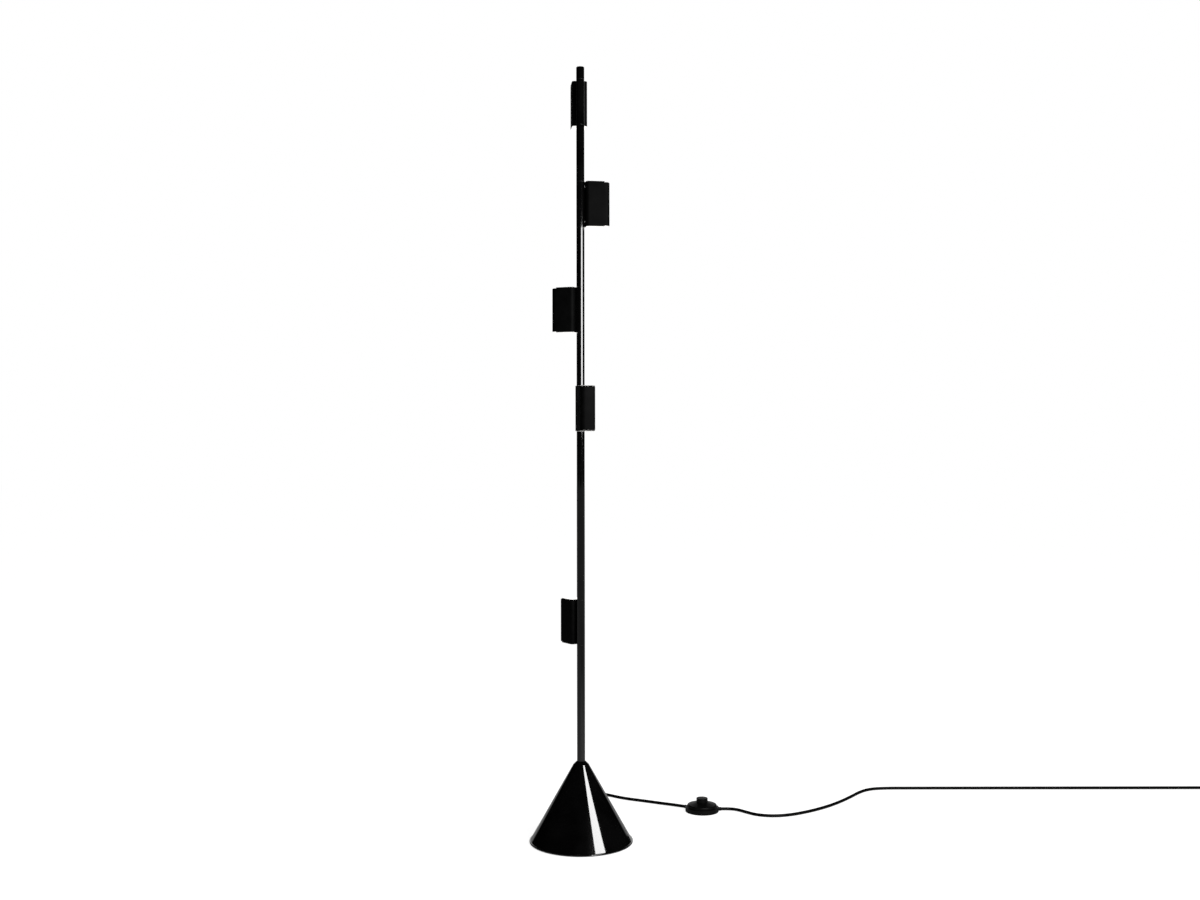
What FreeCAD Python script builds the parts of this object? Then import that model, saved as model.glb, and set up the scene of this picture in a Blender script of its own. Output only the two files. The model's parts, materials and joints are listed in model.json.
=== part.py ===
import FreeCAD, Part
import math
import os
import Sketcher
from FreeCAD import Placement, Rotation, Vector

# Floor lamp: a slim pole on a weighted cone, five small light heads that swivel
# round the pole, and a mains cord with a round foot switch.
# Frame: millimetres, +Z up along the pole, origin on the floor at the pole's axis.
# The lamp is seen from -Y, and +X is to the right.

os.makedirs("parts", exist_ok=True)
doc = FreeCAD.newDocument("PoleLamp")

# ---------------------------------------------------------------- driving sizes
SIZES = (
    ("pole_diameter", 16.0),
    ("core_diameter", 12.0),
    ("core_bore", 9.0),
    ("core_end_gap", 3.0),
    ("running_gap", 0.05),
    ("slip_gap", 0.15),
    ("washer_thickness", 0.4),
    ("washer_gap", 0.05),
    ("washer_inset", 0.3),
    ("harness_diameter", 6.0),
    ("lamp_height", 1533.0),
    ("finial_spigot", 14.0),
    ("finial_edge", 1.4),
    ("finial_dome", 0.9),
    ("pad_thickness", 1.2),
    ("pad_diameter", 196.0),
    ("pad_opening", 132.0),
    ("plate_diameter", 205.2),
    ("plate_thickness", 3.8),
    ("plate_round", 1.6),
    ("hub_bore", 10.0),
    ("wire_slot", 8.0),
    ("cone_foot", 200.6),
    ("cone_neck", 30.0),
    ("cone_height", 150.0),
    ("cone_wall", 1.7),
    ("shoulder_height", 6.0),
    ("shoulder_top", 17.4),
    ("collar_depth", 12.0),
    ("hub_flange", 58.0),
    ("hub_flange_thickness", 6.0),
    ("hub_boss", 26.0),
    ("hub_height", 30.0),
    ("hub_socket", 22.0),
    ("ballast_height", 36.0),
    ("ballast_bore", 66.0),
    ("ballast_gap", 1.5),
    ("screw_shank", 5.0),
    ("screw_head", 9.6),
    ("screw_length", 12.0),
    ("hub_screw_circle", 42.0),
    ("ballast_screw_circle", 116.0),
    ("driver_length", 50.0),
    ("driver_width", 22.0),
    ("driver_thickness", 18.0),
    ("gland_height", 14.5),
    ("gland_neck", 11.0),
    ("gland_flange", 14.0),
    ("gland_flange_thickness", 2.4),
    ("gland_taper", 26.0),
    ("gland_tip", 8.8),
    ("gland_inside", 9.0),
    ("cord_diameter", 6.5),
    ("head_width", 32.0),
    ("head_start", 10.0),
    ("head_reach", 58.3),
    ("head_corner_share", 0.45),
    ("head_height", 88.9),
    ("head_wall", 1.5),
    ("nose_depth", 14.0),
    ("nose_height", 85.8),
    ("nose_tab_depth", 4.0),
    ("nose_tab_thickness", 1.4),
    ("nose_tab_height", 22.0),
    ("sleeve_height", 88.9),
    ("web_width", 6.0),
    ("web_bite", 1.2),
    ("upper_slit_low", 33.0),
    ("upper_slit_high", 38.0),
    ("lower_slit_low", -36.0),
    ("lower_slit_high", -32.0),
    ("wire_hole", 4.6),
    ("head_screw_shank", 2.5),
    ("head_screw_head", 4.6),
    ("head_screw_cap", 1.6),
    ("head_screw_bite", 2.8),
    ("head_screw_spacing", 40.0),
    ("sink_height", 60.0),
    ("sink_gap", 0.5),
    ("sink_slot", 3.0),
    ("sink_slot_depth", 7.0),
    ("sink_pitch", 7.0),
    ("board_thickness", 1.6),
    ("emitter_size", 5.0),
    ("emitter_height", 0.8),
    ("emitter_pitch", 8.5),
    ("diffuser_depth", 3.0),
    ("diffuser_cap", 1.6),
    ("diffuser_inset", 0.4),
    ("switch_diameter", 71.4),
    ("switch_band", 9.4),
    ("switch_wall", 2.0),
    ("switch_foot_round", 1.2),
    ("switch_step_slope", 0.6),
    ("switch_step_height", 1.8),
    ("switch_shoulder", 62.4),
    ("switch_shoulder_height", 15.2),
    ("switch_shoulder_round", 2.6),
    ("switch_crown_height", 20.2),
    ("switch_stub", 5.0),
    ("switch_stub_diameter", 7.8),
    ("switch_entry_height", 4.8),
    ("button_diameter", 24.2),
    ("button_gap", 0.4),
    ("button_top", 29.6),
    ("button_dome", 0.8),
    ("button_round", 0.8),
    ("button_lip", 1.2),
    ("button_flange", 3.0),
    ("plug_width", 36.0),
    ("plug_thickness", 20.4),
    ("plug_corner", 8.0),
    ("plug_round", 1.4),
    ("plug_body_length", 27.0),
    ("plug_neck_length", 24.0),
    ("plug_neck", 12.0),
    ("pin_diameter", 4.8),
    ("pin_length", 19.0),
    ("pin_spacing", 19.0),
    ("coil_turn_pitch", 7.1),
    ("coil_layer_pitch", 6.95),
    ("coil_outer_radius", 43.3),
)

# How far the middle of each head is below the lamp's top, and where the head points:
# 0 is straight at the viewer, 90 to the right, 180 away and 270 to the left.
HEADS = (
    (69.9, 186.2),
    (271.5, 99.0),
    (479.3, 248.5),
    (674.9, 17.1),
    (1097.3, 213.8),
)

# Foot switch: its centre on the floor, and the directions of its two cord stubs.
SWITCH_CENTRE = (256.0, 219.0)
SWITCH_ENTRY_ANGLE = 150.0
SWITCH_EXIT_ANGLE = 2.0

# The cord's route, in order. The ends are the gland's tip, the two stubs of the
# switch and the first turn of the coil.
CORD_FLOOR = 3.4
LEAD_ROUTE = (
    (0.0, 150.0, 14.5),
    (-7.0, 190.0, 7.5),
    (-20.0, 236.0, 3.4),
    (-31.0, 288.0, 3.4),
    (-24.0, 336.0, 3.4),
    (8.0, 362.0, 3.4),
    (47.0, 348.0, 3.4),
    (87.0, 313.0, 3.4),
    (130.0, 292.0, 3.4),
    (168.0, 272.0, 3.4),
)
RUN_ROUTE = (
    (333.0, 215.0, 4.2),
    (350.0, 198.0, 3.4),
    (369.0, 178.0, 3.4),
    (402.0, 169.0, 3.4),
    (438.0, 177.0, 3.4),
    (477.0, 200.0, 3.4),
    (515.0, 230.0, 3.4),
    (552.0, 267.0, 3.4),
    (590.0, 316.0, 3.4),
    (624.0, 366.0, 3.4),
    (652.0, 390.0, 3.4),
    (690.0, 396.3, 3.4),
)
ENTRY_RUN = 25.6
EXIT_RUN = 20.6
COIL_CENTRE_X = 1446.0

# Edges this close to a stated place, in millimetres, are the edges meant.
SAME_PLACE = 0.01

sheet = doc.addObject("Spreadsheet::Sheet", "Sizes")
for row, (name, number) in enumerate(SIZES, start=1):
    sheet.set(f"A{row}", name.replace("_", " "))
    sheet.set(f"B{row}", repr(number))
    sheet.setAlias(f"B{row}", name)
for number, (drop, turn) in enumerate(HEADS, start=1):
    row = len(SIZES) + 2 * number
    sheet.set(f"A{row}", f"head {number} drop")
    sheet.set(f"B{row}", repr(drop))
    sheet.setAlias(f"B{row}", f"head_{number}_drop")
    sheet.set(f"A{row + 1}", f"head {number} turn")
    sheet.set(f"B{row + 1}", repr(turn))
    sheet.setAlias(f"B{row + 1}", f"head_{number}_turn")
doc.recompute()
subparts = []


def known(text):
    """A size expression with each name of the sheet made a reference to it."""
    words = []
    for word in text.replace("(", " ( ").replace(")", " ) ").split():
        words.append(f"Sizes.{word}" if word[0].isalpha() else word)
    return " ".join(words)


def value(text):
    """The number that a size expression stands for."""
    return float(sheet.evalExpression(known(text)))


def bind(thing, prop, text):
    thing.setExpression(prop, known(text))


def subpart(thing, label):
    """Register a finished piece under the name of its file."""
    thing.Label = label
    subparts.append(thing)
    return thing


# ------------------------------------------------------------- sketch helpers
def new_body(label):
    body = doc.addObject("PartDesign::Body", label)
    body.Label = label
    return body


def new_sketch(body, role, name, lift="0"):
    sketch = body.newObject("Sketcher::SketchObject", name)
    plane = next(f for f in body.Origin.OriginFeatures if f.Role == role)
    sketch.AttachmentSupport = [(plane, "")]
    sketch.MapMode = "FlatFace"
    if lift != "0":
        bind(sketch, "AttachmentOffset.Base.z", lift)
    return sketch


def dimension(sketch, kind, where, text):
    """Add one dimension to a sketch and tie it to the sheet."""
    number = value(text)
    index = sketch.addConstraint(Sketcher.Constraint(kind, *where, number))
    bind(sketch, f"Constraints[{index}]", text)


def pin_point(sketch, geometry, end, x_text, y_text):
    """Hold a point of the sketch at the given distances from the origin."""
    for kind, axis, text in (("DistanceX", -2, x_text), ("DistanceY", -1, y_text)):
        if text == "0":
            sketch.addConstraint(Sketcher.Constraint("PointOnObject", geometry, end, axis))
        else:
            dimension(sketch, kind, (-1, 1, geometry, end), text)


def polygon(sketch, points):
    """A closed outline of straight lines through points given as size expressions."""
    first = sketch.GeometryCount
    places = [Vector(value(x), value(y), 0) for x, y in points]
    count = len(points)
    for index in range(count):
        sketch.addGeometry(Part.LineSegment(places[index], places[(index + 1) % count]), False)
    for index in range(count):
        following = first + (index + 1) % count
        sketch.addConstraint(Sketcher.Constraint("Coincident", first + index, 2, following, 1))
    for index, (x, y) in enumerate(points):
        pin_point(sketch, first + index, 1, x, y)
    return sketch


def block(sketch, x_low, x_high, y_low, y_high):
    polygon(sketch, ((x_low, y_low), (x_high, y_low), (x_high, y_high), (x_low, y_high)))


def circle(sketch, diameter, x="0", y="0"):
    centre = Vector(value(x), value(y), 0)
    index = sketch.addGeometry(Part.Circle(centre, Vector(0, 0, 1), value(diameter) / 2), False)
    dimension(sketch, "Diameter", (index,), diameter)
    if x == "0" and y == "0":
        sketch.addConstraint(Sketcher.Constraint("Coincident", index, 3, -1, 1))
    else:
        pin_point(sketch, index, 3, x, y)


def rounded_rectangle(sketch, x_low, x_high, width, radius):
    """A rectangle with round corners, even about the X axis."""
    low, high = value(x_low), value(x_high)
    half, r = value(width) / 2, value(radius)
    up = Vector(0, 0, 1)
    quarter = math.pi / 2
    first = sketch.GeometryCount
    lines = (
        (Vector(low + r, -half, 0), Vector(high - r, -half, 0)),
        (Vector(high, -half + r, 0), Vector(high, half - r, 0)),
        (Vector(high - r, half, 0), Vector(low + r, half, 0)),
        (Vector(low, half - r, 0), Vector(low, -half + r, 0)),
    )
    centres = (
        Vector(high - r, -half + r, 0),
        Vector(high - r, half - r, 0),
        Vector(low + r, half - r, 0),
        Vector(low + r, -half + r, 0),
    )
    for index in range(4):
        sketch.addGeometry(Part.LineSegment(*lines[index]), False)
        start = (index - 1) * quarter
        arc = Part.ArcOfCircle(Part.Circle(centres[index], up, r), start, start + quarter)
        sketch.addGeometry(arc, False)
    for index in range(4):
        line = first + 2 * index
        arc = line + 1
        following = first + (2 * index + 2) % 8
        sketch.addConstraint(Sketcher.Constraint("Tangent", line, 2, arc, 1))
        sketch.addConstraint(Sketcher.Constraint("Tangent", arc, 2, following, 1))
        sketch.addConstraint(Sketcher.Constraint("Vertical" if index % 2 else "Horizontal", line))
        if index:
            sketch.addConstraint(Sketcher.Constraint("Equal", first + 1, arc))
    dimension(sketch, "Radius", (first + 1,), radius)
    dimension(sketch, "DistanceX", (-1, 1, first + 2, 1), x_high)
    dimension(sketch, "DistanceX", (-1, 1, first + 6, 1), x_low)
    dimension(sketch, "DistanceY", (-1, 1, first, 1), f"0 - ( {width} ) / 2")
    dimension(sketch, "DistanceY", (-1, 1, first + 4, 1), f"( {width} ) / 2")


# ------------------------------------------------------------ feature helpers
def pad(body, sketch, length, midplane=False):
    feature = body.newObject("PartDesign::Pad", "Pad")
    feature.Profile = sketch
    bind(feature, "Length", length)
    feature.Midplane = midplane
    return feature


def revolve(body, sketch):
    feature = body.newObject("PartDesign::Revolution", "Revolution")
    feature.Profile = sketch
    feature.ReferenceAxis = (sketch, ["V_Axis"])
    feature.Angle = 360
    return feature


def round_rings(body, radius, rings):
    """Round the circular edges of the body, each given by its (radius, height)."""
    doc.recompute()
    base = body.Tip
    sizes = [(value(ring), value(height)) for ring, height in rings]
    names = []
    for index, edge in enumerate(base.Shape.Edges, start=1):
        if not isinstance(edge.Curve, Part.Circle):
            continue
        for ring, height in sizes:
            if abs(edge.Curve.Radius - ring) + abs(edge.Curve.Center.z - height) < SAME_PLACE:
                names.append(f"Edge{index}")
    round_off(body, base, names, radius)


def round_face_rim(body, radius, height):
    """Round all edges that lie at one height of the body."""
    doc.recompute()
    base = body.Tip
    level = value(height)
    names = [
        f"Edge{index}"
        for index, edge in enumerate(base.Shape.Edges, start=1)
        if all(abs(corner.Z - level) < SAME_PLACE for corner in edge.Vertexes)
    ]
    round_off(body, base, names, radius)


def round_off(body, base, edge_names, radius):
    fillet = body.newObject("PartDesign::Fillet", "Round")
    fillet.Base = (base, edge_names)
    bind(fillet, "Radius", radius)


def pocket_through(body, sketch):
    """Cut the sketch through the whole body, both ways."""
    feature = body.newObject("PartDesign::Pocket", "Pocket")
    feature.Profile = sketch
    feature.Type = "ThroughAll"
    feature.Midplane = True
    return feature


def pocket_one_way(body, sketch, reverse):
    feature = body.newObject("PartDesign::Pocket", "Pocket")
    feature.Profile = sketch
    feature.Type = "ThroughAll"
    feature.Reversed = reverse
    return feature


def pocket_up(body, sketch, depth):
    """Cut the sketch upwards from its plane by the depth."""
    feature = body.newObject("PartDesign::Pocket", "Pocket")
    feature.Profile = sketch
    bind(feature, "Length", depth)
    feature.Reversed = True
    return feature


def seat(feature, body, place, turn=Rotation()):
    """Stand a solid feature on the body's ground plane at (x, y, z), turned as given."""
    ground = next(f for f in body.Origin.OriginFeatures if f.Role == "XY_Plane")
    feature.AttachmentSupport = [(ground, "")]
    feature.MapMode = "FlatFace"
    feature.AttachmentOffset = Placement(Vector(0, 0, 0), turn)
    for axis, text in zip("xyz", place):
        bind(feature, f"AttachmentOffset.Base.{axis}", text)


def turned(label, points):
    """A piece turned on the vertical axis from a half section of (radius, height)."""
    body = new_body(label)
    revolve(body, polygon(new_sketch(body, "XZ_Plane", "Section"), points))
    return body


def tube(label, outer, inner, length):
    body = new_body(label)
    sketch = new_sketch(body, "XY_Plane", "Ring")
    circle(sketch, outer)
    circle(sketch, inner)
    pad(body, sketch, length)
    return body


def group(label, pieces):
    """Several loose pieces of one kind under one name."""
    compound = doc.addObject("Part::Compound", label)
    compound.Links = pieces
    return compound


def mirrored_pair(label, piece):
    """A piece and its mirror image below the head's middle plane."""
    other = doc.addObject("Part::Mirroring", f"{label}_lower")
    other.Source = piece
    other.Normal = Vector(0, 0, 1)
    return group(label, [piece, other])


def lift(thing, height):
    bind(thing, "Placement.Base.z", height)


# ------------------------------------------------------------------------ base
PLATE_TOP = "( pad_thickness + plate_thickness )"
CONE_TOP = f"( {PLATE_TOP} + cone_height )"
CONE_SLOPE = "( ( cone_foot - cone_neck ) / 2 / cone_height )"


def floor_pad():
    return tube("floor_pad", "pad_diameter", "pad_opening", "pad_thickness")


def base_plate():
    rim = "plate_diameter / 2"
    body = turned(
        "base_plate",
        (
            ("0", "pad_thickness"),
            (rim, "pad_thickness"),
            (rim, PLATE_TOP),
            ("0", PLATE_TOP),
        ),
    )
    round_rings(body, "plate_round", ((rim, "pad_thickness"), (rim, PLATE_TOP)))
    holes = new_sketch(body, "XY_Plane", "ScrewHoles")
    for place in screw_places():
        circle(holes, "screw_shank + 2 * slip_gap", *place)
    pocket_through(body, holes)
    return body


def screw_places():
    """The centres of the base's screws, three on each of two circles, as size expressions."""
    places = []
    for ring, start in (("hub_screw_circle", 30), ("ballast_screw_circle", 30)):
        for step in range(3):
            angle = math.radians(start + 120 * step)
            across = round(math.cos(angle), 12)
            along = round(math.sin(angle), 12)
            places.append(
                (
                    f"{ring} / 2 * {across}" if abs(across) > 1e-9 else "0",
                    f"{ring} / 2 * {along}",
                )
            )
    return places


def base_screws():
    """Flat-headed screws that hold the hub and the ballast to the plate from below."""
    screws = []
    for index, (x, y) in enumerate(screw_places(), start=1):
        screw = turned(
            f"base_screw_{index}",
            (
                ("0", "0"),
                ("screw_head / 2", "0"),
                ("screw_head / 2", "screw_shank / 10"),
                ("screw_shank / 2", "screw_head / 2 - screw_shank / 2"),
                ("screw_shank / 2", "screw_length"),
                ("0", "screw_length"),
            ),
        )
        if x != "0":
            bind(screw, "Placement.Base.x", x)
        bind(screw, "Placement.Base.y", y)
        lift(screw, "pad_thickness")
        screws.append(screw)
    return group("base_screws", screws)


def countersinks(body):
    """Cut the cones of the screw heads into the underside of the plate."""
    for index, (x, y) in enumerate(screw_places(), start=1):
        sinker = body.newObject("PartDesign::SubtractiveCone", f"Countersink{index}")
        bind(sinker, "Radius1", "screw_head / 2 + slip_gap + screw_shank / 10")
        bind(sinker, "Radius2", "screw_shank / 2 + slip_gap")
        bind(sinker, "Height", "screw_head / 2 - screw_shank / 2 + screw_shank / 10")
        seat(sinker, body, (x, y, "pad_thickness"))


def stem_hub():
    body = turned(
        "stem_hub",
        (
            ("hub_bore / 2", PLATE_TOP),
            ("hub_flange / 2", PLATE_TOP),
            ("hub_flange / 2", f"{PLATE_TOP} + hub_flange_thickness"),
            ("hub_boss / 2", f"{PLATE_TOP} + hub_flange_thickness"),
            ("hub_boss / 2", f"{PLATE_TOP} + hub_height"),
            ("core_diameter / 2", f"{PLATE_TOP} + hub_height"),
            ("core_diameter / 2", f"{PLATE_TOP} + hub_height - hub_socket"),
            ("hub_bore / 2", f"{PLATE_TOP} + hub_height - hub_socket"),
        ),
    )
    holes = new_sketch(body, "XY_Plane", "ScrewHoles")
    for place in screw_places()[:3]:
        circle(holes, "screw_shank", *place)
    pocket_through(body, holes)
    slot = new_sketch(body, "XY_Plane", "WireSlot", PLATE_TOP)
    block(slot, "0 - wire_slot / 2", "wire_slot / 2", "0", "hub_flange")
    pocket_up(body, slot, "hub_flange_thickness")
    return body


def ballast():
    inner_foot = "cone_foot / 2 - cone_wall - ballast_gap"
    body = turned(
        "ballast_weight",
        (
            ("ballast_bore / 2", PLATE_TOP),
            (inner_foot, PLATE_TOP),
            (f"{inner_foot} - {CONE_SLOPE} * ballast_height", f"{PLATE_TOP} + ballast_height"),
            ("ballast_bore / 2", f"{PLATE_TOP} + ballast_height"),
        ),
    )
    holes = new_sketch(body, "XY_Plane", "ScrewHoles")
    for place in screw_places()[3:]:
        circle(holes, "screw_shank", *place)
    pocket_through(body, holes)
    channel = new_sketch(body, "XY_Plane", "CordChannel", PLATE_TOP)
    side = "gland_neck * 0.75"
    block(channel, f"0 - {side}", side, "0", "cone_foot / 2")
    pocket_up(body, channel, f"gland_height + gland_neck - {PLATE_TOP}")
    return body


def cone_shell():
    body = turned(
        "cone_shell",
        (
            ("cone_foot / 2", PLATE_TOP),
            ("cone_neck / 2", CONE_TOP),
            ("shoulder_top / 2", f"{CONE_TOP} + shoulder_height"),
            ("pole_diameter / 2", f"{CONE_TOP} + shoulder_height"),
            ("pole_diameter / 2", f"{CONE_TOP} - collar_depth"),
            (f"cone_neck / 2 - cone_wall + {CONE_SLOPE} * collar_depth", f"{CONE_TOP} - collar_depth"),
            ("cone_foot / 2 - cone_wall", PLATE_TOP),
        ),
    )
    hole = new_sketch(body, "XZ_Plane", "CordHole")
    circle(hole, "gland_neck", "0", "gland_height")
    pocket_one_way(body, hole, False)
    return body


def cable_gland():
    """Rubber bush with a tapered sleeve, turned on its own axis, which points to the rear."""
    body = turned(
        "cable_gland",
        (
            ("cord_diameter / 2", "0 - gland_inside"),
            ("gland_neck / 2", "0 - gland_inside"),
            ("gland_neck / 2", "0"),
            ("gland_flange / 2", "0"),
            ("gland_flange / 2", "gland_flange_thickness"),
            ("gland_neck / 2", "gland_flange_thickness + 1"),
            ("gland_tip / 2", "gland_flange_thickness + gland_taper"),
            ("cord_diameter / 2", "gland_flange_thickness + gland_taper"),
        ),
    )
    body.Placement = Placement(Vector(0, 0, 0), Rotation(Vector(1, 0, 0), -90))
    bind(body, "Placement.Base.y", GLAND_SEAT)
    bind(body, "Placement.Base.z", "gland_height")
    return body


# The gland's flange clears the cone where the cone is widest behind it.
GLAND_SEAT = (
    f"( cone_foot / 2 - ( gland_height - gland_flange / 2 - {PLATE_TOP} ) * {CONE_SLOPE} )"
)


def led_driver():
    box = doc.addObject("Part::Box", "led_driver")
    bind(box, "Length", "driver_width")
    bind(box, "Width", "driver_length")
    bind(box, "Height", "driver_thickness")
    bind(box, "Placement.Base.x", "ballast_bore / 2 + 2 * cone_wall")
    bind(box, "Placement.Base.y", "0 - driver_length / 2")
    bind(box, "Placement.Base.z", f"{PLATE_TOP} + ballast_height")
    return box


# ------------------------------------------------------------------------ pole
CORE_FOOT = f"( {PLATE_TOP} + hub_height - hub_socket )"
SLEEVE_BORE = "( core_diameter + 2 * running_gap )"
STACK_GAP = "( washer_thickness + washer_gap )"


def head_middle(number):
    """The height of a head's middle, as a size expression."""
    return f"( lamp_height - head_{number}_drop )"


def core_tube():
    body = tube("core_tube", "core_diameter", "core_bore", f"lamp_height - core_end_gap - {CORE_FOOT}")
    lift(body, CORE_FOOT)
    windows = new_sketch(body, "XZ_Plane", "WireWindows")
    for number in range(1, len(HEADS) + 1):
        circle(windows, "wire_hole", "0", f"{head_middle(number)} - {CORE_FOOT}")
    pocket_through(body, windows)
    return body


def section_ends():
    """The low and high end of each fixed length of pole, from the foot up."""
    half = f"( sleeve_height / 2 + {STACK_GAP} )"
    numbers = range(len(HEADS), 0, -1)
    lows = [f"( {PLATE_TOP} + hub_height )"]
    lows += [f"( {head_middle(number)} + {half} )" for number in numbers]
    highs = [f"( {head_middle(number)} - {half} )" for number in numbers]
    return lows, highs


def pole_sections():
    lows, highs = section_ends()
    sections = []
    for index, (low, high) in enumerate(zip(lows, highs), start=1):
        body = tube(f"pole_section_{index}", "pole_diameter", "core_diameter", f"{high} - {low}")
        lift(body, low)
        sections.append(body)
    return sections


def pole_finial():
    """The pole's closed top, which screws on to the core tube and clamps the stack."""
    low = section_ends()[0][-1]
    spigot_top = "lamp_height - core_end_gap"
    body = turned(
        "pole_finial",
        (
            ("core_diameter / 2", low),
            ("pole_diameter / 2", low),
            ("pole_diameter / 2", "lamp_height - finial_dome"),
            ("0", "lamp_height"),
            ("0", f"{spigot_top} - finial_spigot"),
            ("core_bore / 2 - running_gap", f"{spigot_top} - finial_spigot"),
            ("core_bore / 2 - running_gap", f"{spigot_top} + running_gap"),
            ("core_diameter / 2", f"{spigot_top} + running_gap"),
        ),
    )
    round_rings(body, "finial_edge", (("pole_diameter / 2", "lamp_height - finial_dome"),))
    return body


def friction_washers():
    washers = []
    half = "sleeve_height / 2"
    for number in range(1, len(HEADS) + 1):
        seats = (
            f"{head_middle(number)} + {half} + washer_gap",
            f"{head_middle(number)} - {half} - washer_gap - washer_thickness",
        )
        for side, seat in zip(("over", "under"), seats):
            washer = tube(
                f"washer_{side}_{number}",
                "pole_diameter - 2 * washer_inset",
                "core_diameter",
                "washer_thickness",
            )
            lift(washer, seat)
            washers.append(washer)
    return group("friction_washers", washers)


def wiring_harness():
    body = new_body("wiring_harness")
    sketch = new_sketch(body, "XY_Plane", "Bundle")
    circle(sketch, "harness_diameter")
    pad(body, sketch, f"{head_middle(1)} - {PLATE_TOP}")
    lift(body, PLATE_TOP)
    return body


# ----------------------------------------------------------------------- heads
# Each head is drawn about its own middle, with +X pointing away from the pole.
CORNER = "( head_width * head_corner_share )"
NOSE_START = "( head_reach - nose_depth )"


def head_outline(sketch, inset="0"):
    """The head's plan, drawn in from its outside by the inset."""
    rounded_rectangle(
        sketch,
        f"head_start + {inset}",
        f"head_reach - {inset}",
        f"head_width - 2 * ( {inset} )",
        f"{CORNER} - ( {inset} )",
    )


def head_bracket(number):
    """Sleeve on the pole with the web and the two lugs that carry the head."""
    body = new_body(f"head_{number}_bracket")
    ring = new_sketch(body, "XY_Plane", "Sleeve")
    circle(ring, "pole_diameter")
    circle(ring, SLEEVE_BORE)
    pad(body, ring, "sleeve_height", midplane=True)
    web = new_sketch(body, "XY_Plane", "Web")
    block(web, "pole_diameter / 2 - web_bite", "head_start", "0 - web_width / 2", "web_width / 2")
    pad(body, web, "sleeve_height", midplane=True)
    slits = new_sketch(body, "XZ_Plane", "Slits")
    edge = "pole_diameter / 2"
    outside = "head_start + web_bite"
    block(slits, edge, outside, "upper_slit_low", "upper_slit_high")
    block(slits, edge, outside, "lower_slit_low", "lower_slit_high")
    pocket_through(body, slits)
    holes = new_sketch(body, "YZ_Plane", "WireAndScrewHoles")
    circle(holes, "wire_hole")
    circle(holes, "head_screw_shank + slip_gap", "0", "head_screw_spacing / 2")
    circle(holes, "head_screw_shank + slip_gap", "0", "0 - head_screw_spacing / 2")
    pocket_one_way(body, holes, True)
    return body


def head_shell(number):
    """Extruded housing, open at both ends and at the front, where the nose closes it."""
    body = new_body(f"head_{number}_shell")
    outside = new_sketch(body, "XY_Plane", "Outside")
    head_outline(outside)
    pad(body, outside, "head_height", midplane=True)
    inside = new_sketch(body, "XY_Plane", "Inside")
    head_outline(inside, "head_wall")
    pocket_through(body, inside)
    front = new_sketch(body, "XY_Plane", "FrontOpening")
    block(front, NOSE_START, "head_reach + nose_depth", "0 - head_width", "head_width")
    pocket_through(body, front)
    holes = new_sketch(body, "YZ_Plane", "WireAndScrewHoles")
    circle(holes, "wire_hole")
    circle(holes, "head_screw_shank + 2 * slip_gap", "0", "head_screw_spacing / 2")
    circle(holes, "head_screw_shank + 2 * slip_gap", "0", "0 - head_screw_spacing / 2")
    pocket_one_way(body, holes, True)
    return body


def head_nose(number):
    """Rounded front of the head, a little shorter than the housing, with two tabs."""
    body = new_body(f"head_{number}_nose")
    outside = new_sketch(body, "XY_Plane", "Outside")
    head_outline(outside)
    pad(body, outside, "nose_height", midplane=True)
    inside = new_sketch(body, "XY_Plane", "Inside")
    head_outline(inside, "head_wall")
    pocket_through(body, inside)
    back = new_sketch(body, "XY_Plane", "Back")
    block(back, "0", NOSE_START, "0 - head_width", "head_width")
    pocket_through(body, back)
    tabs = new_sketch(body, "XY_Plane", "Tabs")
    outer = "( head_width / 2 - head_wall - slip_gap )"
    inner = f"( {outer} - nose_tab_thickness )"
    tab_start = f"{NOSE_START} - nose_tab_depth"
    tab_end = f"{NOSE_START} + nose_tab_depth"
    block(tabs, tab_start, tab_end, inner, outer)
    block(tabs, tab_start, tab_end, f"0 - {outer}", f"0 - {inner}")
    pad(body, tabs, "nose_tab_height", midplane=True)
    return body


SINK_START = "( head_start + head_wall + head_screw_cap + sink_gap )"
SINK_END = f"( {NOSE_START} - nose_tab_depth - sink_gap )"
SINK_WIDTH = "( head_width - 2 * ( head_wall + sink_gap ) )"


def head_heat_sink(number):
    """Aluminium block that carries the two boards, slotted from both sides."""
    body = new_body(f"head_{number}_heat_sink")
    plan = new_sketch(body, "XY_Plane", "Plan")
    rounded_rectangle(plan, SINK_START, SINK_END, SINK_WIDTH, f"{CORNER} - head_wall - sink_gap")
    pad(body, plan, "sink_height", midplane=True)
    slots = new_sketch(body, "XY_Plane", "Slots")
    start = f"( {SINK_START} + sink_pitch )"
    end = f"( {start} + sink_slot )"
    deep = f"( {SINK_WIDTH} / 2 - sink_slot_depth )"
    beyond = "head_width / 2"
    block(slots, start, end, deep, beyond)
    block(slots, start, end, f"0 - {beyond}", f"0 - {deep}")
    cut = pocket_through(body, slots)
    row = body.newObject("PartDesign::LinearPattern", "SlotRow")
    row.Originals = [cut]
    row.Direction = (slots, ["H_Axis"])
    row.Occurrences = 2
    bind(row, "Length", "sink_pitch")
    body.Tip = row
    return body


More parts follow.
